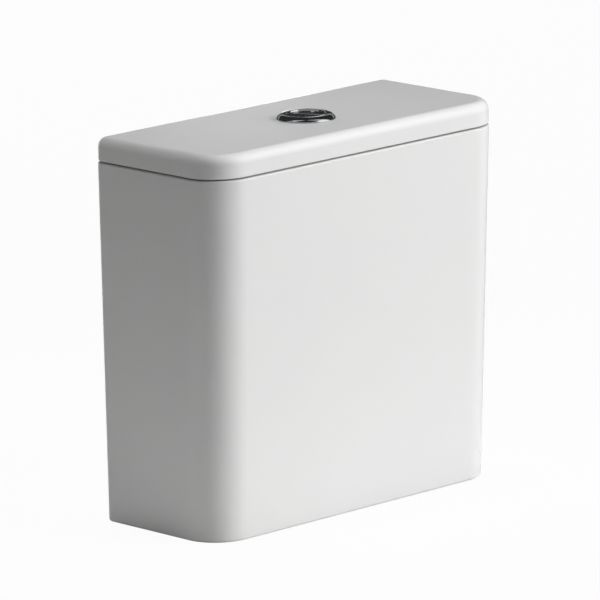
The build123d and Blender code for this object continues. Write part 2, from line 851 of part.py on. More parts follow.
with BuildPart() as flush_float:
    with BuildSketch(upright(0, valve_y)):
        Polygon(
            (flush_float_bore, flush_float_bottom),
            (flush_float_bore + float_wall, flush_float_bottom),
            (flush_float_bore + float_wall, flush_float_top - float_wall),
            (flush_float_radius - float_wall, flush_float_top - float_wall),
            (flush_float_radius - float_wall, flush_float_bottom),
            (flush_float_radius, flush_float_bottom),
            (flush_float_radius, flush_float_top),
            (flush_float_bore, flush_float_top),
            align=None,
        )
    revolve(axis=vertical_axis(0, valve_y))
flush_float.part.label = "flush_float"
export_step(flush_float.part, "parts/flush_float.step")

# Half-flush float, an inverted box that slides on the rear column
half_float_bottom = cage_top + half_float_stop
column_outer = column_offset + column_thickness / 2
float_inner = column_outer - half_float_grip
slot_width = column_width + 2 * half_float_slack

with BuildPart() as half_flush_float:
    with BuildSketch(level(0, valve_y, half_float_bottom)):
        with Locations((0, float_inner + half_float_depth / 2)):
            RectangleRounded(half_float_width, half_float_depth, half_float_corner)
    extrude(amount=half_float_height)
    offset(amount=-float_wall, openings=faces().sort_by(Axis.Z)[0])
    with BuildSketch(level(0, valve_y, half_float_bottom)):
        with Locations((0, float_inner + (half_float_grip + half_float_slack + float_wall) / 2)):
            Rectangle(
                slot_width + 2 * float_wall,
                half_float_grip + half_float_slack + float_wall,
            )
    extrude(amount=half_float_height)
    with BuildSketch(level(0, valve_y, half_float_bottom)):
        with Locations((0, float_inner + (half_float_grip + half_float_slack) / 2)):
            Rectangle(slot_width, half_float_grip + half_float_slack)
    extrude(amount=half_float_height, mode=Mode.SUBTRACT)
half_flush_float.part.label = "half_flush_float"
export_step(half_flush_float.part, "parts/half_flush_float.step")

# Coupling bolts, with their washers and nuts
washer_top = floor_top + seal_washer_thickness
bolt_seat = washer_top + plate_washer_thickness
lower_washer_bottom = nut_seat - seal_washer_thickness
lower_plate_bottom = lower_washer_bottom - plate_washer_thickness

with BuildPart() as coupling_bolts:
    with BuildSketch(Plane.XY.offset(bolt_seat)):
        with Locations(*bolt_places):
            RegularPolygon(bolt_head_radius, 6)
    extrude(amount=bolt_head_height)
    with BuildSketch(Plane.XY.offset(bolt_seat)):
        with Locations(*bolt_places):
            Circle(bolt_radius)
    extrude(amount=shank_end - bolt_seat)
    chamfer(edges().group_by(Axis.Z)[0], bolt_chamfer)
    # Groove below each nut
    with BuildSketch(Plane.XY.offset(lower_plate_bottom - bolt_nut_height)):
        with Locations(*bolt_places):
            ring(bolt_radius + relief_depth, bolt_radius - bolt_relief_depth)
    extrude(amount=-relief_width, mode=Mode.SUBTRACT)
coupling_bolts.part.label = "coupling_bolts"
export_step(coupling_bolts.part, "parts/coupling_bolts.step")

with BuildPart() as upper_seal_washers:
    with BuildSketch(Plane.XY.offset(floor_top)):
        with Locations(*bolt_places):
            ring(seal_washer_radius, bolt_radius + bolt_clearance)
    extrude(amount=seal_washer_thickness)
upper_seal_washers.part.label = "upper_seal_washers"
export_step(upper_seal_washers.part, "parts/upper_seal_washers.step")

with BuildPart() as upper_plate_washers:
    with BuildSketch(Plane.XY.offset(washer_top)):
        with Locations(*bolt_places):
            ring(plate_washer_radius, bolt_radius + bolt_clearance)
    extrude(amount=plate_washer_thickness)
upper_plate_washers.part.label = "upper_plate_washers"
export_step(upper_plate_washers.part, "parts/upper_plate_washers.step")

with BuildPart() as lower_seal_washers:
    with BuildSketch(Plane.XY.offset(nut_seat)):
        with Locations(*bolt_places):
            ring(seal_washer_radius, bolt_radius + bolt_clearance)
    extrude(amount=-seal_washer_thickness)
lower_seal_washers.part.label = "lower_seal_washers"
export_step(lower_seal_washers.part, "parts/lower_seal_washers.step")

with BuildPart() as lower_plate_washers:
    with BuildSketch(Plane.XY.offset(lower_washer_bottom)):
        with Locations(*bolt_places):
            ring(plate_washer_radius, bolt_radius + bolt_clearance)
    extrude(amount=-plate_washer_thickness)
lower_plate_washers.part.label = "lower_plate_washers"
export_step(lower_plate_washers.part, "parts/lower_plate_washers.step")

with BuildPart() as bolt_nuts:
    with BuildSketch(Plane.XY.offset(lower_plate_bottom)):
        with Locations(*bolt_places):
            RegularPolygon(bolt_head_radius, 6)
            Circle(bolt_radius + fit_clearance, mode=Mode.SUBTRACT)
    extrude(amount=-bolt_nut_height)
bolt_nuts.part.label = "bolt_nuts"
export_step(bolt_nuts.part, "parts/bolt_nuts.step")

# Fill valve: threaded inlet, flange and inner riser in one piece
with BuildPart() as inlet_riser:
    with BuildSketch(upright(inlet_x, inlet_y)):
        Polygon(
            (inlet_bore_radius, inlet_end),
            (inlet_radius - inlet_chamfer, inlet_end),
            (inlet_radius, inlet_end + inlet_chamfer),
            (inlet_radius, inlet_nut_bottom - relief_width),
            (inlet_radius - relief_depth, inlet_nut_bottom - relief_width),
            (inlet_radius - relief_depth, inlet_nut_bottom),
            (inlet_radius, inlet_nut_bottom),
            (inlet_radius, inlet_flange_bottom),
            (inlet_flange_radius, inlet_flange_bottom),
            (inlet_flange_radius, inlet_flange_top),
            (riser_radius, inlet_flange_top),
            (riser_radius, riser_top),
            (inlet_bore_radius, riser_top),
            align=None,
        )
    revolve(axis=vertical_axis(inlet_x, inlet_y))
inlet_riser.part.label = "inlet_riser"
export_step(inlet_riser.part, "parts/inlet_riser.step")

with BuildPart() as inlet_washer:
    with BuildSketch(level(inlet_x, inlet_y, floor_top)):
        ring(inlet_flange_radius, inlet_radius + washer_clearance)
    extrude(amount=inlet_washer_thickness)
inlet_washer.part.label = "inlet_washer"
export_step(inlet_washer.part, "parts/inlet_washer.step")

with BuildPart() as inlet_back_nut:
    with BuildSketch(level(inlet_x, inlet_y, nut_seat)):
        RegularPolygon(inlet_nut_radius, 6)
        Circle(inlet_radius + thread_clearance, mode=Mode.SUBTRACT)
    extrude(amount=-inlet_nut_height)
inlet_back_nut.part.label = "inlet_back_nut"
export_step(inlet_back_nut.part, "parts/inlet_back_nut.step")

# Slotted thimble in the inlet that keeps grit out
filter_bottom = inlet_end + inlet_chamfer

with BuildPart() as inlet_filter:
    with BuildSketch(level(inlet_x, inlet_y, filter_bottom)):
        Circle(filter_radius)
    extrude(amount=filter_length)
    with BuildSketch(level(inlet_x, inlet_y, filter_bottom)):
        Circle(filter_radius - filter_wall)
    extrude(amount=filter_length - filter_wall, mode=Mode.SUBTRACT)
    with BuildSketch(level(inlet_x, inlet_y, filter_bottom + filter_end)):
        with PolarLocations(filter_radius, filter_slots):
            Rectangle(filter_radius, filter_slot_width)
    extrude(amount=filter_length - 2 * filter_end, mode=Mode.SUBTRACT)
inlet_filter.part.label = "inlet_filter"
export_step(inlet_filter.part, "parts/inlet_filter.step")

# Outer sleeve, down which the water runs to the slots at its foot
with BuildPart() as riser_sleeve:
    with BuildSketch(level(inlet_x, inlet_y, inlet_flange_top)):
        Circle(sleeve_outer_radius)
    extrude(amount=riser_top - inlet_flange_top)
    with BuildSketch(level(inlet_x, inlet_y, float_bottom - stop_height)):
        Circle(stop_radius)
    extrude(amount=stop_height)
    with BuildSketch(level(inlet_x, inlet_y, inlet_flange_top)):
        Circle(sleeve_inner_radius)
    extrude(amount=riser_top - inlet_flange_top, mode=Mode.SUBTRACT)
    with BuildSketch(level(inlet_x, inlet_y, inlet_flange_top + sleeve_slot_rise)):
        with PolarLocations(sleeve_outer_radius, sleeve_slots):
            Rectangle(sleeve_outer_radius, sleeve_slot_width)
    extrude(amount=sleeve_slot_height, mode=Mode.SUBTRACT)
riser_sleeve.part.label = "riser_sleeve"
export_step(riser_sleeve.part, "parts/riser_sleeve.step")

with BuildPart() as fill_valve_head:
    with BuildSketch(level(inlet_x, inlet_y, riser_top)):
        ring(head_radius, inlet_bore_radius)
    extrude(amount=head_thickness)
fill_valve_head.part.label = "fill_valve_head"
export_step(fill_valve_head.part, "parts/fill_valve_head.step")

with BuildPart() as diaphragm:
    with BuildSketch(level(inlet_x, inlet_y, cap_bottom)):
        Circle(diaphragm_radius)
    extrude(amount=diaphragm_thickness)
diaphragm.part.label = "diaphragm"
export_step(diaphragm.part, "parts/diaphragm.step")

# Cap with the pilot nozzle and the two lugs of the float arm
with BuildPart() as fill_valve_cap:
    with BuildSketch(level(inlet_x, inlet_y, cap_bottom)):
        Circle(head_radius)
        with PolarLocations(head_radius, cap_grips):
            Circle(cap_grip_radius, mode=Mode.SUBTRACT)
    extrude(amount=cap_height)
    with BuildSketch(level(inlet_x, inlet_y, cap_bottom)):
        Circle(head_radius - cap_wall)
    extrude(amount=diaphragm_thickness, mode=Mode.SUBTRACT)
    with BuildSketch(level(inlet_x, inlet_y, cap_top)):
        Circle(nozzle_radius)
    extrude(amount=nozzle_height)
    for lug_y in (arm_width / 2 + arm_lug_gap + arm_lug_thickness, -arm_width / 2 - arm_lug_gap):
        with BuildSketch(upright(inlet_x + arm_pivot_x, inlet_y + lug_y)):
            with Locations((0, arm_pivot_height)):
                Circle(arm_hub_radius)
            with Locations((0, cap_top + arm_pivot_rise / 2)):
                Rectangle(2 * arm_hub_radius, arm_pivot_rise)
            with Locations((0, arm_pivot_height)):
                Circle(arm_pin_radius + pin_clearance, mode=Mode.SUBTRACT)
        extrude(amount=arm_lug_thickness)
fill_valve_cap.part.label = "fill_valve_cap"
export_step(fill_valve_cap.part, "parts/fill_valve_cap.step")

with BuildPart() as float_arm_pin:
    pin_end = arm_width / 2 + arm_lug_gap + arm_lug_thickness + pin_tail
    with BuildSketch(upright(inlet_x + arm_pivot_x, inlet_y + pin_end)):
        with Locations((0, arm_pivot_height)):
            Circle(arm_pin_radius)
    extrude(amount=2 * pin_end)
float_arm_pin.part.label = "float_arm_pin"
export_step(float_arm_pin.part, "parts/float_arm_pin.step")

# Float arm: a bar with its fork round the adjusting rod
with BuildPart() as float_arm:
    with BuildSketch(upright(inlet_x + arm_pivot_x, inlet_y + arm_width / 2)):
        with Locations((0, arm_pivot_height)):
            Circle(arm_hub_radius)
        with Locations(((arm_reach + arm_end - arm_nose) / 2, arm_pivot_height)):
            Rectangle(arm_reach + arm_end + arm_nose, arm_thickness)
        with Locations((0, arm_pivot_height)):
            Circle(arm_pin_radius + pin_clearance, mode=Mode.SUBTRACT)
    extrude(amount=arm_width)
    fork_bottom = arm_pivot_height - arm_thickness
    with BuildSketch(level(adjuster_x + arm_end - fork_depth / 2, inlet_y, fork_bottom)):
        Rectangle(fork_depth, 2 * (adjuster_radius + fork_clearance))
    extrude(amount=2 * arm_thickness, mode=Mode.SUBTRACT)
float_arm.part.label = "float_arm"
export_step(float_arm.part, "parts/float_arm.step")

with BuildPart() as pilot_seal:
    with BuildSketch(level(inlet_x, inlet_y, arm_pivot_height - arm_thickness / 2)):
        Circle(pilot_seal_radius)
    extrude(amount=-pilot_seal_thickness)
pilot_seal.part.label = "pilot_seal"
export_step(pilot_seal.part, "parts/pilot_seal.step")

# Float cup round the sleeve, open below, with a boss for the adjusting rod
float_bore = sleeve_outer_radius + float_bore_clearance

with BuildPart() as float_cup:
    with BuildSketch(upright(inlet_x, inlet_y)):
        Polygon(
            (float_bore, float_bottom),
            (float_bore + float_cup_wall, float_bottom),
            (float_bore + float_cup_wall, float_top - float_cup_wall),
            (float_radius - float_cup_wall, float_top - float_cup_wall),
            (float_radius - float_cup_wall, float_bottom),
            (float_radius, float_bottom),
            (float_radius, float_top),
            (float_bore, float_top),
            align=None,
        )
        fillet(vertices().group_by(Axis.X)[-1].sort_by(Axis.Y)[-1], float_edge_radius)
    revolve(axis=vertical_axis(inlet_x, inlet_y))
    with BuildSketch(level(adjuster_x, inlet_y, float_top + float_boss_height)):
        Circle(float_boss_radius)
    extrude(amount=-(float_boss_height + float_boss_depth))
    with BuildSketch(level(adjuster_x, inlet_y, adjuster_bottom)):
        Circle(adjuster_radius + adjuster_clearance)
    extrude(amount=adjuster_socket, mode=Mode.SUBTRACT)
float_cup.part.label = "float_cup"
export_step(float_cup.part, "parts/float_cup.step")

with BuildPart() as adjusting_rod:
    with BuildSketch(level(adjuster_x, inlet_y, adjuster_bottom)):
        Circle(adjuster_radius)
    extrude(amount=knob_bottom - adjuster_bottom)
    with BuildSketch(level(adjuster_x, inlet_y, knob_bottom)):
        Circle(adjuster_knob_radius)
    extrude(amount=adjuster_knob_height)
adjusting_rod.part.label = "adjusting_rod"
export_step(adjusting_rod.part, "parts/adjusting_rod.step")

with BuildPart() as adjusting_clip:
    clip_top = arm_pivot_height - arm_thickness / 2 - clip_gap
    with BuildSketch(level(adjuster_x, inlet_y, clip_top)):
        ring(clip_radius, adjuster_radius + adjuster_clearance)
    extrude(amount=-clip_height)
adjusting_clip.part.label = "adjusting_clip"
export_step(adjusting_clip.part, "parts/adjusting_clip.step")

print("lever swing", round(math.degrees(swing), 3), "degrees")
print("valve travel", round(valve_travel, 3), "mm")
print("float arm swing", round(math.degrees(arm_swing), 3), "degrees")
print("pivot height", pivot_height, "arm pivot height", arm_pivot_height)
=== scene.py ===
import json
import math

import bmesh
import bpy
from mathutils import Matrix, Vector


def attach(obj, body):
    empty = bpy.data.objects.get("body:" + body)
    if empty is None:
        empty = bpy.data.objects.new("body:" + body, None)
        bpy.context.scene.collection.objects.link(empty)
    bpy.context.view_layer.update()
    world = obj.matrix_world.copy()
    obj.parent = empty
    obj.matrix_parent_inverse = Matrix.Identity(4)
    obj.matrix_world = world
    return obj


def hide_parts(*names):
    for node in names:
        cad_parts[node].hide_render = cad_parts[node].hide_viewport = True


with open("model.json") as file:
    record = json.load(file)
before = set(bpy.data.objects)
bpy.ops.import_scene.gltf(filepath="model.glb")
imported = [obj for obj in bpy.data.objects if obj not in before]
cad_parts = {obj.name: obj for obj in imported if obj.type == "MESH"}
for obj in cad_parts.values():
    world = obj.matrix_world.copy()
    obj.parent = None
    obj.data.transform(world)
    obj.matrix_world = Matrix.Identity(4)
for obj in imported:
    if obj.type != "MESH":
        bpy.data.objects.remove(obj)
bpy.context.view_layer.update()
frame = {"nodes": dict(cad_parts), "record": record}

nodes = frame["nodes"]
mm = 0.001
noiseLow, noiseHigh = 0.3, 0.7      # where nearly all of a noise's values lie
bpy.context.scene.view_settings.view_transform = "Standard"


def toLinear(hexCode):
    # sRGB hex to the linear values that the shaders take
    parts = [int(hexCode[i:i + 2], 16) / 255 for i in (1, 3, 5)]
    return [c / 12.92 if c <= 0.04045 else ((c + 0.055) / 1.055) ** 2.4 for c in parts] + [1.0]


def addNode(tree, kind, inputs=None, **settings):
    node = tree.nodes.new(kind)
    for name, value in settings.items():
        setattr(node, name, value)
    for name, value in (inputs or {}).items():
        if isinstance(value, bpy.types.NodeSocket):
            tree.links.new(value, node.inputs[name])
        else:
            node.inputs[name].default_value = value
    return node


def newMaterial(name):
    material = bpy.data.materials.new(name)
    material.use_nodes = True
    tree = material.node_tree
    tree.nodes.clear()
    return material, tree


def link(obj):
    bpy.context.scene.collection.objects.link(obj)
    return obj


# Camera: where the photo was taken from, a long lens far off
view = {
    "azimuth": 44.2,     # degrees left of straight on
    "elevation": 12.803,
    "distance": 6.6906,
    "target": (0, 0, 0.1856),
    "aimLeft": 5.155 * mm,
    "aimUp": 10.824 * mm,
    "roll": -1.079,
    "lens": 416.73,
    "clipEnd": 60,
}


def placeCamera():
    a, e, r = (math.radians(view[k]) for k in ("azimuth", "elevation", "roll"))
    back = Vector((-math.sin(a) * math.cos(e), -math.cos(a) * math.cos(e), math.sin(e)))
    right = (-back).cross(Vector((0, 0, 1))).normalized()
    up = right.cross(-back)
    turnedRight = right * math.cos(r) + up * math.sin(r)
    turnedUp = up * math.cos(r) - right * math.sin(r)
    spot = Vector(view["target"]) + back * view["distance"]
    aim = Vector(view["target"]) - turnedRight * view["aimLeft"] + turnedUp * view["aimUp"]
    axisZ = (spot - aim).normalized()
    axisX = turnedUp.cross(axisZ).normalized()
    axisY = axisZ.cross(axisX)
    data = bpy.data.cameras.new("camera")
    data.lens = view["lens"]
    data.clip_end = view["clipEnd"]
    cam = link(bpy.data.objects.new("camera", data))
    turn = Matrix((axisX, axisY, axisZ)).transposed().to_4x4()
    cam.matrix_world = Matrix.Translation(spot) @ turn
    bpy.context.scene.camera = cam


placeCamera()
print("camera placed")

# Studio: a big soft box far off at the front right, a weaker one behind, faint ones above and low left.
# The lamps don't show in gloss: the cards stand in for them there, like the white and black panels
# of a product photographer. Cards are glowing patches of a sphere round the push button, seen by gloss alone:
# they paint the reflections and highlights in the chrome and the glaze.
studio = {
    "air": "#FFFFFF",
    "airOnObject": 0.108,   # how bright the air lights the object
    "key": {"spot": (3.5, -4.8, 2.3), "size": (3.3, 3.2), "spread": 180, "watts": 378},
    "top": {"spot": (0.1, 0.1, 2.6), "size": (0.7, 0.7), "spread": 30, "watts": 1.08},
    "left": {"spot": (-0.75, 0.1, 0.04), "size": (0.5, 0.1), "spread": 180, "watts": 0.33},
    "back": {"spot": (1.2, 4.6, 0.9), "size": (3.0, 1.6), "spread": 180, "watts": 110},
    "aimAt": (0, 0, 0.2),
    "floorTone": "#DDDDDC",
    "floorCloud": "#E1E1E0",
    "floorClouds": 3.0,         # clouds of tone across the whole board
    "floorReach": 14,           # m
    "floorDrop": 0.02 * mm,     # just clear of the tank's foot
    "floorGlow": 0.955,         # share of pure white in the floor that the camera sees
    "cardCentre": (0, -6 * mm, 380 * mm),
    "cardGrid": (16, 12),       # faces across and up each card
    # faint fine grain in the glow of the painted reflection cards
    "glowGrain": {"scale": 900.0, "depth": 0.05},
    # Each card runs between two headings, counted from X towards Y, and two heights, all in degrees.
    # It stands so many m from the button
    # Each card glows at its light value and is seen only in gloss: painted reflections, dark, grey and white
    "cards": {
        "black card": {"turn": (-22, 132), "rise": (7.5, 122), "reach": 2.6, "light": 0.035},
        "grey strip": {"turn": (5, 90), "rise": (14, 21), "reach": 2.55, "light": 0.35},
        "grey card, low right": {"turn": (-10, 38), "rise": (-6, 7.5), "reach": 2.6, "light": 0.4},
        "dark card, low middle": {"turn": (38, 45.8), "rise": (-6, 7.5), "reach": 2.6, "light": 0.12},
        "grey card, low left": {"turn": (50, 100), "rise": (-6, 7.5), "reach": 2.6, "light": 0.4},
        "white card, low behind": {"turn": (46.2, 50), "rise": (-6, 7.5), "reach": 2.6, "light": 1.6},
        "grey card, front left": {"turn": (132, 284), "rise": (1, 58), "reach": 2.6, "light": 0.35},
        "white strip, front": {"turn": (252, 288), "rise": (28, 42), "reach": 2.55, "light": 1.3},
        "white card, front right": {"turn": (288, 332), "rise": (24, 54), "reach": 2.6, "light": 1.3},
    },
}


def addLamp(name, spec):
    data = bpy.data.lights.new(name, "AREA")
    data.shape = "RECTANGLE"
    data.size, data.size_y = spec["size"]
    data.spread = math.radians(spec["spread"])
    data.energy = spec["watts"]
    lamp = link(bpy.data.objects.new(name, data))
    lamp.location = spec["spot"]
    aim = Vector(studio["aimAt"]) - Vector(spec["spot"])
    lamp.rotation_euler = aim.to_track_quat("-Z", "Y").to_euler()
    lamp.visible_camera = lamp.visible_glossy = False


def addCard(name, spec):
    # Card that glows evenly with a faint fine grain, seen by gloss alone: a painted reflection
    material, tree = newMaterial("glowing card, painted reflection, " + name)
    depth = studio["glowGrain"]["depth"]
    glowGrain = addNode(tree, "ShaderNodeTexNoise", {"Scale": studio["glowGrain"]["scale"]})
    light = addNode(tree, "ShaderNodeMapRange", {
        "Value": glowGrain.outputs["Fac"],
        "To Min": spec["light"] * (1 - depth), "To Max": spec["light"] * (1 + depth)})
    glow = addNode(tree, "ShaderNodeEmission", {
        "Color": toLinear(studio["air"]), "Strength": light.outputs["Result"]})
    addNode(tree, "ShaderNodeOutputMaterial", {"Surface": glow.outputs[0]})
    across, upward = studio["cardGrid"]
    turnFrom, turnTo = spec["turn"]
    riseFrom, riseTo = spec["rise"]
    corners = []
    for j in range(upward + 1):
        rise = math.radians(riseFrom + (riseTo - riseFrom) * j / upward)
        for i in range(across + 1):
            turn = math.radians(turnFrom + (turnTo - turnFrom) * i / across)
            out = Vector((math.cos(turn) * math.cos(rise), math.sin(turn) * math.cos(rise), math.sin(rise)))
            corners.append(Vector(studio["cardCentre"]) + out * spec["reach"])
    row = across + 1
    faces = [(j * row + i, j * row + i + 1, (j + 1) * row + i + 1, (j + 1) * row + i)
             for j in range(upward) for i in range(across)]
    mesh = bpy.data.meshes.new(name)
    mesh.from_pydata(corners, [], faces)
    card = link(bpy.data.objects.new(name, mesh))
    card.data.materials.append(material)
    card.visible_camera = card.visible_diffuse = card.visible_shadow = card.visible_transmission = False


def buildStudio():
    world = bpy.data.worlds.new("studio air")
    bpy.context.scene.world = world
    world.use_nodes = True
    tree = world.node_tree
    tree.nodes.clear()
    path = addNode(tree, "ShaderNodeLightPath")
    seen = addNode(tree, "ShaderNodeMath", {
        0: path.outputs["Is Camera Ray"], 1: path.outputs["Is Glossy Ray"]}, operation="MAXIMUM")
    seenOrThrough = addNode(tree, "ShaderNodeMath", {
        0: seen.outputs[0], 1: path.outputs["Is Transmission Ray"]}, operation="MAXIMUM")
    onObject = addNode(tree, "ShaderNodeBackground", {
        "Color": toLinear(studio["air"]), "Strength": studio["airOnObject"]})
    behind = addNode(tree, "ShaderNodeBackground", {"Color": toLinear(studio["air"]), "Strength": 1.0})
    mix = addNode(tree, "ShaderNodeMixShader", {
        0: seenOrThrough.outputs[0], 1: onObject.outputs[0], 2: behind.outputs[0]})
    addNode(tree, "ShaderNodeOutputWorld", {"Surface": mix.outputs[0]})

    for name in ("key", "top", "left", "back"):
        addLamp(name + " soft box", studio[name])

    # Floor: matt painted board, whitened where the camera sees it, so its shadow stays
    material, tree = newMaterial("painted board, matt white")
    path = addNode(tree, "ShaderNodeLightPath")
    cloud = addNode(tree, "ShaderNodeTexNoise", {"Scale": studio["floorClouds"], "Detail": 2.0})
    tone = addNode(tree, "ShaderNodeMix", {
        "Factor": cloud.outputs["Fac"], "A": toLinear(studio["floorTone"]),
        "B": toLinear(studio["floorCloud"])}, data_type="RGBA")
    board = addNode(tree, "ShaderNodeBsdfDiffuse", {"Color": tone.outputs["Result"]})
    glow = addNode(tree, "ShaderNodeEmission", {"Color": toLinear(studio["air"]), "Strength": 1.0})
    share = addNode(tree, "ShaderNodeMath", {
        0: path.outputs["Is Camera Ray"], 1: studio["floorGlow"]}, operation="MULTIPLY")
    mix = addNode(tree, "ShaderNodeMixShader", {
        0: share.outputs[0], 1: board.outputs[0], 2: glow.outputs[0]})
    addNode(tree, "ShaderNodeOutputMaterial", {"Surface": mix.outputs[0]})
    mesh = bpy.data.meshes.new("floor")
    reach, low = studio["floorReach"], -studio["floorDrop"]
    corners = [(-reach, -reach, low), (reach, -reach, low), (reach, reach, low), (-reach, reach, low)]
    mesh.from_pydata(corners, [], [(0, 1, 2, 3)])
    floor = link(bpy.data.objects.new("floor", mesh))
    floor.data.materials.append(material)

    for name, spec in studio["cards"].items():
        addCard(name, spec)


buildStudio()
print("studio lit")

# Vitreous china: a fired white body under a thick clear glaze. The glaze gives a soft deep gloss
# that waves a little like orange peel, and the bare clay shows where the piece stood in the kiln.
# The bare clay is drawn dark grey, which also paints shade into the joint under the lid.
china = {
    "glaze": "#E6E6E5",
    "glazeDeep": "#E2E3E3",
    # bare clay drawn dark grey: unglazed body, and painted shade in the joint under the lid
    "bareClayShaded": "#A6A29B",
    "bareSpeckShaded": "#96928B",
    "ior": 1.5,
    "roughness": 0.15,
    "bareRoughness": 0.85,
    "tankBare": 0.3,        # mm, height below which no glaze is
    # the lid's bare band lies inside the joint, where its dark clay paints shade
    "lidBareShaded": 353.3,
    "fade": 0.4,            # mm over which the glaze ends
    "waveLength": 9.0,      # mm, one swell of the glaze
    "waveHeight": 0.012,    # mm
    "cloudSize": 120.0,     # mm, slow change of tone
    "speckSize": 0.8,       # mm, grains of the bare clay, drawn coarse enough to show
}


def glazedChina(name, bareBelow):
    material, tree = newMaterial(name)
    place = addNode(tree, "ShaderNodeTexCoord").outputs["Object"]
    height = addNode(tree, "ShaderNodeSeparateXYZ", {0: place}).outputs["Z"]
    # below the given height the glaze gives way to dark bare clay, which on the lid is painted shade in the
    # joint
    bare = addNode(tree, "ShaderNodeMapRange", {
        "Value": height, "From Min": bareBelow, "From Max": bareBelow + china["fade"] * mm,
        "To Min": 1.0, "To Max": 0.0})
    cloud = addNode(tree, "ShaderNodeTexNoise", {
        "Vector": place, "Scale": 1 / (china["cloudSize"] * mm), "Detail": 2.0})
    glaze = addNode(tree, "ShaderNodeMix", {
        "Factor": cloud.outputs["Fac"], "A": toLinear(china["glaze"]),
        "B": toLinear(china["glazeDeep"])}, data_type="RGBA")
    speck = addNode(tree, "ShaderNodeTexNoise", {
        "Vector": place, "Scale": 1 / (china["speckSize"] * mm), "Detail": 4.0})
    clay = addNode(tree, "ShaderNodeMix", {
        "Factor": speck.outputs["Fac"], "A": toLinear(china["bareClayShaded"]),
        "B": toLinear(china["bareSpeckShaded"])}, data_type="RGBA")
    colour = addNode(tree, "ShaderNodeMix", {
        "Factor": bare.outputs["Result"], "A": glaze.outputs["Result"],
        "B": clay.outputs["Result"]}, data_type="RGBA")
    gloss = addNode(tree, "ShaderNodeMapRange", {
        "Value": bare.outputs["Result"], "To Min": china["roughness"], "To Max": china["bareRoughness"]})
    swell = addNode(tree, "ShaderNodeTexNoise", {
        "Vector": place, "Scale": 1 / (china["waveLength"] * mm), "Detail": 1.0})
    bump = addNode(tree, "ShaderNodeBump", {
        "Height": swell.outputs["Fac"], "Strength": 1.0, "Distance": china["waveHeight"] * mm})
    shader = addNode(tree, "ShaderNodeBsdfPrincipled", {
        "Base Color": colour.outputs["Result"], "Roughness": gloss.outputs["Result"], "IOR": china["ior"],
        "Normal": bump.outputs["Normal"]})
    addNode(tree, "ShaderNodeOutputMaterial", {"Surface": shader.outputs[0]})
    return material


# Chrome plate over polished plastic: mirror bright, with faint hazy wipes and an all but flat skin
chrome = {
    "hex": "#C6C9CC",
    "low": 0.04,            # roughness where it was wiped clean
    "high": 0.09,           # and in a hazy wipe
    "wipe": 6.0,            # mm across one wipe
    "polish": 2.5,          # mm, swell left by the polished mould
    "polishHeight": 0.002,  # mm
}


def chromePlate(name):
    material, tree = newMaterial(name)
    place = addNode(tree, "ShaderNodeTexCoord").outputs["Object"]
    wipe = addNode(tree, "ShaderNodeTexNoise", {
        "Vector": place, "Scale": 1 / (chrome["wipe"] * mm), "Detail": 3.0})
    gloss = addNode(tree, "ShaderNodeMapRange", {
        "Value": wipe.outputs["Fac"], "From Min": noiseLow, "From Max": noiseHigh,
        "To Min": chrome["low"], "To Max": chrome["high"]})
    polish = addNode(tree, "ShaderNodeTexNoise", {"Vector": place, "Scale": 1 / (chrome["polish"] * mm)})
    bump = addNode(tree, "ShaderNodeBump", {
        "Height": polish.outputs["Fac"], "Distance": chrome["polishHeight"] * mm})
    shader = addNode(tree, "ShaderNodeBsdfPrincipled", {
        "Base Color": toLinear(chrome["hex"]), "Metallic": 1.0, "Roughness": gloss.outputs["Result"],
        "Normal": bump.outputs["Normal"]})
    addNode(tree, "ShaderNodeOutputMaterial", {"Surface": shader.outputs[0]})
    return material


# Injection-moulded plastics: the mould's spark-eroded skin breaks the gloss into a fine satin.
# Its true grain of 0.05 mm is drawn 0.4 mm wide so that it shows.
plastics = {
    "white_plastic": {"name": "ABS, moulded, white", "hex": "#E7E6E1", "flow": "#DFDED8", "roughness": 0.38},
    "grey_plastic": {"name": "polypropylene, moulded, grey", "hex": "#A9AEB2", "flow": "#A1A6AB",
                     "roughness": 0.46},
    "blue_plastic": {"name": "acetal, moulded, blue", "hex": "#2F66A8", "flow": "#2A5E9E", "roughness": 0.36},
    "green_plastic": {"name": "acetal, moulded, green", "hex": "#4D9A68", "flow": "#468F60", "roughness": 0.36},
}
moulding = {
    "ior": 1.49,
    "flow": 14.0,       # mm, clouds where the melt flowed
    "swirl": 0.6,       # how much the flow is drawn out
    "grain": 0.4,       # mm, spark-eroded skin
    "grainHeight": 0.012,
    "shinier": 0.04,    # how far the grain moves the roughness down
    "duller": 0.06,     # and up
}


def mouldedPlastic(spec):
    material, tree = newMaterial(spec["name"])
    place = addNode(tree, "ShaderNodeTexCoord").outputs["Object"]
    flow = addNode(tree, "ShaderNodeTexNoise", {
        "Vector": place, "Scale": 1 / (moulding["flow"] * mm), "Detail": 2.0,
        "Distortion": moulding["swirl"]})
    colour = addNode(tree, "ShaderNodeMix", {
        "Factor": flow.outputs["Fac"], "A": toLinear(spec["hex"]),
        "B": toLinear(spec["flow"])}, data_type="RGBA")
    skin = addNode(tree, "ShaderNodeTexNoise", {
        "Vector": place, "Scale": 1 / (moulding["grain"] * mm), "Detail": 3.0})
    gloss = addNode(tree, "ShaderNodeMapRange", {
        "Value": skin.outputs["Fac"], "From Min": noiseLow, "From Max": noiseHigh,
        "To Min": spec["roughness"] - moulding["shinier"], "To Max": spec["roughness"] + moulding["duller"]})
    bump = addNode(tree, "ShaderNodeBump", {
        "Height": skin.outputs["Fac"], "Distance": moulding["grainHeight"] * mm})
    shader = addNode(tree, "ShaderNodeBsdfPrincipled", {
        "Base Color": colour.outputs["Result"], "Roughness": gloss.outputs["Result"], "IOR": moulding["ior"],
        "Normal": bump.outputs["Normal"]})
    addNode(tree, "ShaderNodeOutputMaterial", {"Surface": shader.outputs[0]})
    return material


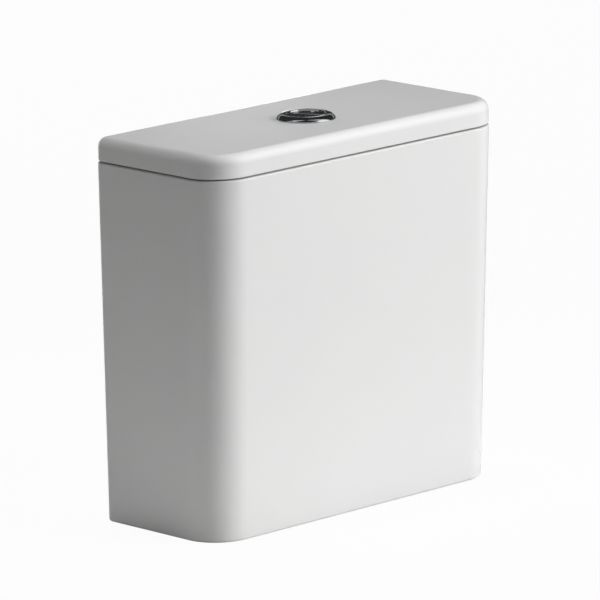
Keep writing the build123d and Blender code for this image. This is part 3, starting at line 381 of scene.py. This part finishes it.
# Rubbers: moulded EPDM is matt with a dusty bloom, silicone is smoother and lets a little light in
rubbers = {
    "black_rubber": {"name": "EPDM rubber, moulded, black", "hex": "#232323", "bloom": "#34322F",
                     "roughness": 0.62, "depth": 0.0},
    "red_silicone": {"name": "silicone rubber, moulded, red", "hex": "#A83226", "bloom": "#B24336",
                     "roughness": 0.4, "depth": 0.15},
}
rubberSkin = {
    "ior": 1.43,
    "bloom": 5.0,       # mm, patches of dust
    "grain": 0.5,       # mm, drawn coarser than the mould's so that it shows
    "grainHeight": 0.02,
    "lightDepth": 0.8,  # mm that light goes into silicone, where depth lets it
}


def mouldedRubber(spec):
    material, tree = newMaterial(spec["name"])
    place = addNode(tree, "ShaderNodeTexCoord").outputs["Object"]
    bloom = addNode(tree, "ShaderNodeTexNoise", {
        "Vector": place, "Scale": 1 / (rubberSkin["bloom"] * mm), "Detail": 5.0})
    colour = addNode(tree, "ShaderNodeMix", {
        "Factor": bloom.outputs["Fac"], "A": toLinear(spec["hex"]),
        "B": toLinear(spec["bloom"])}, data_type="RGBA")
    skin = addNode(tree, "ShaderNodeTexNoise", {
        "Vector": place, "Scale": 1 / (rubberSkin["grain"] * mm), "Detail": 2.0})
    bump = addNode(tree, "ShaderNodeBump", {
        "Height": skin.outputs["Fac"], "Distance": rubberSkin["grainHeight"] * mm})
    shader = addNode(tree, "ShaderNodeBsdfPrincipled", {
        "Base Color": colour.outputs["Result"], "Roughness": spec["roughness"], "IOR": rubberSkin["ior"],
        "Subsurface Weight": spec["depth"], "Subsurface Scale": rubberSkin["lightDepth"] * mm,
        "Normal": bump.outputs["Normal"]})
    addNode(tree, "ShaderNodeOutputMaterial", {"Surface": shader.outputs[0]})
    return material


# Closed-cell polyethylene foam: the cut cells give a dry pitted face; the pits are drawn darker than the cell
# walls, which is painted shade in the hollows
foam = {
    "shadedPit": "#1F2021",
    "wall": "#3A3B3D",
    "cell": 0.9,        # mm across one cell
    "cellDepth": 0.25,  # mm
    "roughness": 0.92,
    "ior": 1.5,
}


def cutFoam(name):
    material, tree = newMaterial(name)
    place = addNode(tree, "ShaderNodeTexCoord").outputs["Object"]
    cells = addNode(tree, "ShaderNodeTexVoronoi", {"Vector": place, "Scale": 1 / (foam["cell"] * mm)})
    # darker towards each cell's middle: painted shade in its pit
    colour = addNode(tree, "ShaderNodeMix", {
        "Factor": cells.outputs["Distance"], "A": toLinear(foam["shadedPit"]),
        "B": toLinear(foam["wall"])}, data_type="RGBA")
    bump = addNode(tree, "ShaderNodeBump", {
        "Height": cells.outputs["Distance"], "Distance": foam["cellDepth"] * mm})
    shader = addNode(tree, "ShaderNodeBsdfPrincipled", {
        "Base Color": colour.outputs["Result"], "Roughness": foam["roughness"], "IOR": foam["ior"],
        "Normal": bump.outputs["Normal"]})
    addNode(tree, "ShaderNodeOutputMaterial", {"Surface": shader.outputs[0]})
    return material


# Steels: drawn wire and rod keep faint lines along their length, zinc plate has a cloudy bright skin.
# Streak is the length in mm of one line along X, Y and Z.
lineHeight = 0.008 * mm
steels = {
    "spring_steel": {"name": "stainless spring wire, drawn", "hex": "#A9A8A5", "streak": (2.0, 2.0, 0.2),
                     "low": 0.18, "high": 0.34},
    "stainless_steel": {"name": "stainless rod, drawn", "hex": "#B1B1AF", "streak": (0.25, 4.0, 0.25),
                        "low": 0.2, "high": 0.36},
    "zinc_steel": {"name": "steel, bright zinc plate", "hex": "#B5B9BB", "streak": (3.0, 3.0, 3.0),
                   "low": 0.24, "high": 0.42},
}


def drawnSteel(spec):
    material, tree = newMaterial(spec["name"])
    place = addNode(tree, "ShaderNodeTexCoord").outputs["Object"]
    stretched = addNode(tree, "ShaderNodeMapping", {
        "Vector": place, "Scale": [1 / (s * mm) for s in spec["streak"]]})
    lines = addNode(tree, "ShaderNodeTexNoise", {
        "Vector": stretched.outputs["Vector"], "Scale": 1.0, "Detail": 3.0})
    gloss = addNode(tree, "ShaderNodeMapRange", {
        "Value": lines.outputs["Fac"], "From Min": noiseLow, "From Max": noiseHigh,
        "To Min": spec["low"], "To Max": spec["high"]})
    bump = addNode(tree, "ShaderNodeBump", {"Height": lines.outputs["Fac"], "Distance": lineHeight})
    shader = addNode(tree, "ShaderNodeBsdfPrincipled", {
        "Base Color": toLinear(spec["hex"]), "Metallic": 1.0, "Roughness": gloss.outputs["Result"],
        "Normal": bump.outputs["Normal"]})
    addNode(tree, "ShaderNodeOutputMaterial", {"Surface": shader.outputs[0]})
    return material


# The tank's foot and the lid's rim stood on the kiln shelf; the dark clay on the lid's rim also paints shade
# into the joint
tankFinish = glazedChina("vitreous china, glazed, tank", china["tankBare"] * mm)
lidFinish = glazedChina("vitreous china, glazed, lid", china["lidBareShaded"] * mm)
finishes = {
    "chrome_plate": chromePlate("ABS, polished and chrome plated"),
    "black_foam": cutFoam("polyethylene foam, closed cell, cut"),
}
for slotName, spec in plastics.items():
    finishes[slotName] = mouldedPlastic(spec)
for slotName, spec in rubbers.items():
    finishes[slotName] = mouldedRubber(spec)
for slotName, spec in steels.items():
    finishes[slotName] = drawnSteel(spec)

for part in frame["record"]["subparts"]:
    node = nodes[part["node"]]
    finish = finishes.get(part["material_slot"])
    if part["node"] == "tank_body":
        finish = tankFinish
    if part["node"] == "tank_lid":
        finish = lidFinish
    for place in node.material_slots:
        place.material = finish
print("finishes on", len(nodes), "parts")


# Shaping tools for the turned and moulded pieces, all in mm
runOut = 0.7        # turns over which a thread fades at each end
nutCone = 1.7       # mm that a nut's cone widens in 1 mm of height
weld = 0.0004       # points closer than this become one


def rounded(corners, steps=5):
    # Corners are (radius, height, rounding); each is replaced by a small arc of that rounding
    out = []
    for i, (x, y, r) in enumerate(corners):
        here = Vector((x, y))
        if not r:
            out.append((x, y))
            continue
        before = (Vector(corners[i - 1][:2]) - here).normalized()
        after = (Vector(corners[(i + 1) % len(corners)][:2]) - here).normalized()
        half = before.angle(after) / 2
        reach = r / math.tan(half)
        middle = here + (before + after).normalized() * (r / math.sin(half))
        start, end = here + before * reach - middle, here + after * reach - middle
        sweep = start.angle_signed(end)
        for k in range(steps + 1):
            turned = start.copy()
            turned.rotate(Matrix.Rotation(-sweep * k / steps, 2))
            out.append(tuple(middle + turned))
    return out


def threadShape(pitch, depth, low, high):
    # Rounded thread between two heights, fading out at both ends
    def shape(angle, radius, height):
        fade = min(1.0, max(0.0, min(height - low, high - height) / (runOut * pitch)))
        phase = 2 * math.pi * (height / pitch) - angle
        return radius - depth * fade * (0.5 - 0.5 * math.cos(phase))
    return shape


def sidedShape(sides, across, crown, low, high):
    # Flats of a nut or bolt head, whose ends are turned off to a cone
    def shape(angle, radius, height):
        span = 2 * math.pi / sides
        flat = across * math.cos(span / 2) / math.cos((angle % span) - span / 2)
        cone = across - crown + nutCone * min(height - low, high - height)
        return min(flat, cone)
    return shape


def addTurned(bm, rows, places, steps):
    # Rows are (radius, height, shape or nothing), once round the section
    for x, y in places:
        rings = []
        for radius, height, shape in rows:
            ring = []
            for k in range(steps):
                angle = 2 * math.pi * k / steps
                r = shape(angle, radius, height) if shape else radius
                ring.append(bm.verts.new(((x + r * math.cos(angle)) * mm, (y + r * math.sin(angle)) * mm,
                                          height * mm)))
            rings.append(ring)
        for a, b in zip(rings, rings[1:] + rings[:1]):
            for k in range(steps):
                bm.faces.new((a[k], a[(k + 1) % steps], b[(k + 1) % steps], b[k]))


def finishPiece(bm, name, finish, body, replaced, sharpAbove=32):
    bmesh.ops.remove_doubles(bm, verts=bm.verts, dist=weld * mm)
    bmesh.ops.dissolve_degenerate(bm, edges=bm.edges, dist=weld * mm)
    bmesh.ops.recalc_face_normals(bm, faces=bm.faces)
    mesh = bpy.data.meshes.new(name)
    bm.to_mesh(mesh)
    bm.free()
    mesh.shade_smooth()
    mesh.set_sharp_from_angle(angle=math.radians(sharpAbove))
    piece = link(bpy.data.objects.new(name, mesh))
    piece.data.materials.append(finish)
    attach(piece, body)
    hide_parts(*replaced)


def plain(points):
    return [(x, y, None) for x, y in points]


def threadedRun(radius, low, high, pitch, depth, perTurn=8):
    shape = threadShape(pitch, depth, low, high)
    count = math.ceil((high - low) / pitch * perTurn)
    return [(radius, low + (high - low) * k / count, shape) for k in range(count + 1)]


# Outlet shank of the flush valve: two-inch pipe thread, 11 turns to the inch
outlet = {
    "centre": (0, -6), "radius": 29.8, "bore": 25, "foot": 4, "lead": 1.5, "chamfer": 0.4,
    "pitch": 25.4 / 11, "depth": 1.1, "grooveFrom": 16.5, "groove": 18, "grooveDepth": 0.6, "threadTop": 57,
    "flangeLow": 75, "flangeTop": 80, "flange": 42, "flangeRound": (0.6, 1.0),
    "hub": 31, "hubRound": 1.2, "lip": 28, "seat": 86, "seatRound": 0.9, "steps": 120,
}


def buildOutlet():
    o = outlet
    neck = o["radius"] - o["grooveDepth"]
    section = plain([(o["bore"], o["foot"] + o["chamfer"]), (o["bore"] + o["chamfer"], o["foot"]),
                     (o["radius"] - o["lead"], o["foot"])])
    section += threadedRun(o["radius"], o["foot"] + o["lead"], o["grooveFrom"], o["pitch"], o["depth"])
    section += plain([(neck, o["grooveFrom"]), (neck, o["groove"])])
    section += threadedRun(o["radius"], o["groove"], o["threadTop"], o["pitch"], o["depth"])
    section += plain(rounded([
        (o["radius"], o["flangeLow"] - 4, 0), (o["radius"], o["flangeLow"], 0),
        (o["flange"], o["flangeLow"], o["flangeRound"][0]), (o["flange"], o["flangeTop"], o["flangeRound"][1]),
        (o["hub"], o["flangeTop"], o["hubRound"]), (o["lip"], o["seat"], o["seatRound"]),
        (o["bore"], o["seat"], o["seatRound"]), (o["bore"], o["seat"] - 4, 0)]))
    bm = bmesh.new()
    addTurned(bm, section, [o["centre"]], o["steps"])
    finishPiece(bm, "outlet_shank", finishes["white_plastic"], "tank", ["valve_base"])


# Water inlet: half-inch pipe thread, 14 turns to the inch, with its flange and inner riser
inlet = {
    "centre": (-140, 5), "radius": 10.48, "bore": 6, "foot": 10, "lead": 1, "chamfer": 0.3,
    "pitch": 25.4 / 14, "depth": 0.9, "perTurn": 7,
    "grooveFrom": 46.5, "groove": 48, "grooveDepth": 0.6, "threadTop": 60,
    "flangeLow": 75, "flangeTop": 80, "flange": 18, "flangeRound": (0.5, 0.8),
    "riser": 8.5, "riserRound": 0.8, "top": 250, "topRound": 0.4, "steps": 64,
}


def buildInlet():
    n = inlet
    neck = n["radius"] - n["grooveDepth"]
    section = plain([(n["bore"], n["foot"] + n["chamfer"]), (n["bore"] + n["chamfer"], n["foot"]),
                     (n["radius"] - n["lead"], n["foot"])])
    section += threadedRun(n["radius"], n["foot"] + n["lead"], n["grooveFrom"], n["pitch"], n["depth"],
                           n["perTurn"])
    section += plain([(neck, n["grooveFrom"]), (neck, n["groove"])])
    section += threadedRun(n["radius"], n["groove"], n["threadTop"], n["pitch"], n["depth"], n["perTurn"])
    section += plain(rounded([
        (n["radius"], n["flangeLow"] - 3, 0), (n["radius"], n["flangeLow"], 0),
        (n["flange"], n["flangeLow"], n["flangeRound"][0]), (n["flange"], n["flangeTop"], n["flangeRound"][1]),
        (n["riser"], n["flangeTop"], n["riserRound"]), (n["riser"], n["top"], n["topRound"]),
        (n["bore"], n["top"], n["topRound"]), (n["bore"], n["top"] - 4, 0)]))
    bm = bmesh.new()
    addTurned(bm, section, [n["centre"]], n["steps"])
    finishPiece(bm, "inlet_shank", finishes["white_plastic"], "tank", ["inlet_riser"])


# Bezel of the push button: it swells from its edge up to a crest and dips inside it to the plates
bezel = {
    "centre": (0, -6), "outer": 29, "edge": 0.8, "edgeRound": 0.5, "footRound": 0.15, "foot": 376,
    "crest": 21.8, "crestRound": 0.25, "top": 381, "land": 2.6, "landDip": 0.11, "lipRound": 0.35,
    "bore": 18.4, "dip": 1.4, "sleeve": 23, "sleeveFoot": 346, "lead": 1, "chamfer": 0.3,
    "threadTop": 364, "pitch": 2.5, "depth": 0.9, "perTurn": 7, "roundSteps": 8, "steps": 180,
}


def buildBezel():
    b = bezel
    # The outer slope is an arc that lies level at the crest and ends above the outer edge. Its first
    # points are left out, since the crest's own rounding takes their place
    run, rise = b["outer"] - b["crest"], b["top"] - b["foot"] - b["edge"]
    swell = (run * run + rise * rise) / (2 * rise)
    slope = []
    for k in range(4, 20):
        out = run * k / 20
        slope.append((b["crest"] + out, b["top"] - swell + math.sqrt(swell * swell - out * out), 0))
    corners = [(b["crest"], b["top"], b["crestRound"])] + slope
    corners += [(b["outer"], b["foot"] + b["edge"], b["edgeRound"]), (b["outer"], b["foot"], b["footRound"]),
                (b["sleeve"], b["foot"], 0)]
    section = plain([(b["bore"], b["sleeveFoot"] + b["chamfer"]), (b["bore"] + b["chamfer"], b["sleeveFoot"]),
                     (b["sleeve"] - b["lead"], b["sleeveFoot"])])
    section += threadedRun(b["sleeve"], b["sleeveFoot"] + b["lead"], b["threadTop"], b["pitch"], b["depth"],
                           b["perTurn"])
    inner = [(b["sleeve"], b["foot"] - 2, 0)] + corners[::-1]
    inner += [(b["crest"] - b["land"], b["top"] - b["landDip"], b["lipRound"]),
              (b["bore"], b["top"] - b["dip"], b["lipRound"]), (b["bore"], b["top"] - b["dip"] - 4, 0)]
    section += plain(rounded(inner, b["roundSteps"]))
    bm = bmesh.new()
    addTurned(bm, section, [b["centre"]], b["steps"])
    finishPiece(bm, "bezel_dome", finishes["chrome_plate"], "lid", ["button_bezel"], sharpAbove=50)


# The two push plates: halves of a shallow dish, split square to the line of their stems
plates = {
    "centre": (0, -6), "radius": 18.1, "top": 379.5, "thickness": 3.0, "dish": 0.22, "split": 4.0, "gap": 0.7,
    "round": 0.45, "corner": 26, "underRound": 0.3, "steps": 144,
    "stemAt": (11, 5), "stem": 3.2, "stemLength": 25, "stemRound": 0.3,
    "socket": 2.55, "socketDepth": 16, "socketRound": 0.2, "stemSteps": 40,
}


def buildPlate(name, side, body, replaced):
    g = plates
    cx, cy = g["centre"]
    heading = math.atan2(g["stemAt"][1], g["stemAt"][0])
    across = Vector((math.cos(heading), math.sin(heading)))
    edge = g["split"] + side * g["gap"] / 2     # where the split lies along the stems' line
    inside = (edge + side * g["radius"]) / 2    # and there the plate's own middle
    steps = g["steps"]

    def reach(angle, inset):
        # From the plate's middle out to its edge. A higher corner value leaves its corners sharper
        dx = math.cos(angle)
        r = g["radius"] - inset
        along = inside * dx
        circle = -along + math.sqrt(along * along + r * r - inside * inside)
        towards = -side * dx
        chord = (abs(inside - edge) - inset) / towards if towards > 1e-6 else 1e6
        return (circle ** -g["corner"] + chord ** -g["corner"]) ** (-1 / g["corner"])

    def spot(angle, distance):
        u, v = inside + distance * math.cos(angle), distance * math.sin(angle)
        return cx + u * across.x - v * across.y, cy + u * across.y + v * across.x, math.hypot(u, v)

    def dished(out):
        return g["top"] - g["dish"] * (1 - min(1.0, out / (g["radius"] - g["round"])) ** 2)

    bm = bmesh.new()
    # Rows are (share of the reach, inset, drop below the dish, height where the row lies flat)
    rows = [(share, g["round"], 0.0, None) for share in (0.25, 0.5, 0.75, 0.9, 1.0)]
    for k in range(1, 6):
        a = math.radians(90 * k / 5)
        rows.append((1.0, g["round"] * (1 - math.sin(a)), g["round"] * (1 - math.cos(a)), None))
    low = g["top"] - g["thickness"]
    rows += [(1.0, 0.0, 0.0, low + g["underRound"]), (1.0, g["underRound"], 0.0, low),
             (0.5, g["underRound"], 0.0, low)]
    rings = []
    for share, inset, drop, flat in rows:
        ring = []
        for k in range(steps):
            angle = 2 * math.pi * k / steps
            x, y, out = spot(angle, share * reach(angle, inset))
            z = dished(out) - drop if flat is None else flat
            ring.append(bm.verts.new((x * mm, y * mm, z * mm)))
        rings.append(ring)
    for a, b in zip(rings, rings[1:]):
        for k in range(steps):
            bm.faces.new((a[k], a[(k + 1) % steps], b[(k + 1) % steps], b[k]))
    x, y, out = spot(0, 0)
    for ring, z in ((rings[0], dished(out)), (rings[-1], low)):
        middle = bm.verts.new((x * mm, y * mm, z * mm))
        for k in range(steps):
            bm.faces.new((ring[(k + 1) % steps], ring[k], middle))
    foot = low - g["stemLength"]
    stem = plain(rounded([
        (0, foot + g["socketDepth"], 0), (g["socket"], foot + g["socketDepth"], 0),
        (g["socket"], foot, g["socketRound"]), (g["stem"], foot, g["stemRound"]), (g["stem"], low, 0),
        (0, low, 0)]))
    addTurned(bm, stem, [(cx + side * g["stemAt"][0], cy + side * g["stemAt"][1])], g["stemSteps"])
    finishPiece(bm, name, finishes["chrome_plate"], body, [replaced], sharpAbove=40)


# Return springs, wound to the height they have under a pressed plate, so that none sticks out of it
springs = {
    "radius": 4.6, "wire": 0.55, "foot": 361.6, "top": 371.4, "turns": 6, "around": 36, "sides": 10,
    "closed": 0.75,      # turns lying closed at each end
    "closedRise": 1.24,  # how far they climb, in wire radii
    "ground": 0.16,      # mm ground off the end coils
}


def buildSpring(name, side, replaced):
    s = springs
    x, y = (c + side * d for c, d in zip(plates["centre"], plates["stemAt"]))
    low, high = s["foot"] + s["wire"], s["top"] - s["wire"]
    climb = s["closedRise"] * s["wire"]
    bm = bmesh.new()
    rings = []
    for k in range(s["turns"] * s["around"] + 1):
        angle = 2 * math.pi * k / s["around"]
        turn = k / s["around"]
        share = min(1.0, max(0.0, (turn - s["closed"]) / (s["turns"] - 2 * s["closed"])))
        height = low + (high - low) * share
        height += climb * (1 - share) * min(1.0, turn / s["closed"])
        height -= climb * share * min(1.0, (s["turns"] - turn) / s["closed"])
        ring = []
        for j in range(s["sides"]):
            a = 2 * math.pi * j / s["sides"]
            out = s["radius"] + s["wire"] * math.cos(a)
            z = height + s["wire"] * math.sin(a)
            z = min(max(z, s["foot"] + s["ground"]), s["top"] - s["ground"])
            spot = ((x + out * math.cos(angle)) * mm, (y + out * math.sin(angle)) * mm, z * mm)
            ring.append(bm.verts.new(spot))
        rings.append(ring)
    for a, b in zip(rings, rings[1:]):
        for j in range(s["sides"]):
            bm.faces.new((a[j], a[(j + 1) % s["sides"]], b[(j + 1) % s["sides"]], b[j]))
    bm.faces.new(rings[0])
    bm.faces.new(rings[-1][::-1])
    finishPiece(bm, name, finishes["spring_steel"], "lid", [replaced], sharpAbove=50)


# Coupling bolts M8 with hexagon heads and nuts
bolts = {
    "centres": [(-75, -6), (75, -6)], "radius": 4, "foot": 4, "lead": 0.8, "pitch": 1.25, "depth": 0.62,
    "perTurn": 6, "grooveFrom": 44.5, "groove": 46, "grooveDepth": 0.5, "threadTop": 58,
    "seat": 77.5, "headTop": 83, "head": 7.2, "headRows": (1.2, 0.6, 0.3, 0), "crown": 0.55,
    "nutLow": 46, "nutTop": 52.5, "nutBore": 4.1, "chamfer": 0.4, "nutRows": (0, 0.15, 0.3, 0.6, 1.2),
    "steps": 48,
}


def buildBolts():
    b = bolts
    # The head's flats start 4 mm below it, so that only its top is turned to a cone
    flats = sidedShape(6, b["head"], b["crown"], b["seat"] - 4, b["headTop"])
    neck = b["radius"] - b["grooveDepth"]
    section = plain([(0, b["foot"]), (b["radius"] - b["lead"], b["foot"])])
    section += threadedRun(b["radius"], b["foot"] + b["lead"], b["grooveFrom"], b["pitch"], b["depth"],
                           b["perTurn"])
    section += plain([(neck, b["grooveFrom"]), (neck, b["groove"])])
    section += threadedRun(b["radius"], b["groove"], b["threadTop"], b["pitch"], b["depth"], b["perTurn"])
    section += plain([(b["radius"], b["seat"])]) + [(b["head"], b["seat"], flats)]
    section += [(b["head"], b["headTop"] - h, flats) for h in b["headRows"]]
    section += plain([(0, b["headTop"])])
    bm = bmesh.new()
    addTurned(bm, section, b["centres"], b["steps"])
    finishPiece(bm, "coupling_bolts_m8", finishes["zinc_steel"], "tank", ["coupling_bolts"],
                sharpAbove=26)

    flats = sidedShape(6, b["head"], b["crown"], b["nutLow"], b["nutTop"])
    section = plain([(b["nutBore"], b["nutTop"] - b["chamfer"]), (b["nutBore"], b["nutLow"] + b["chamfer"]),
                     (b["nutBore"] + b["chamfer"], b["nutLow"])])
    section += [(b["head"], b["nutLow"] + h, flats) for h in b["nutRows"]]
    section += [(b["head"], b["nutTop"] - h, flats) for h in b["nutRows"][::-1]]
    section += plain([(b["nutBore"] + b["chamfer"], b["nutTop"])])
    bm = bmesh.new()
    addTurned(bm, section, b["centres"], b["steps"])
    finishPiece(bm, "coupling_nuts_m8", finishes["zinc_steel"], "tank", ["bolt_nuts"],
                sharpAbove=26)


buildOutlet()
buildInlet()
buildBezel()
buildPlate("full_flush_plate", -1, "full_button", "full_flush_button")
buildPlate("half_flush_plate", 1, "half_button", "half_flush_button")
buildSpring("full_return_spring", -1, "full_button_spring")
buildSpring("half_return_spring", 1, "half_button_spring")
buildBolts()
print("threads, bezel, plates, springs and bolts built")
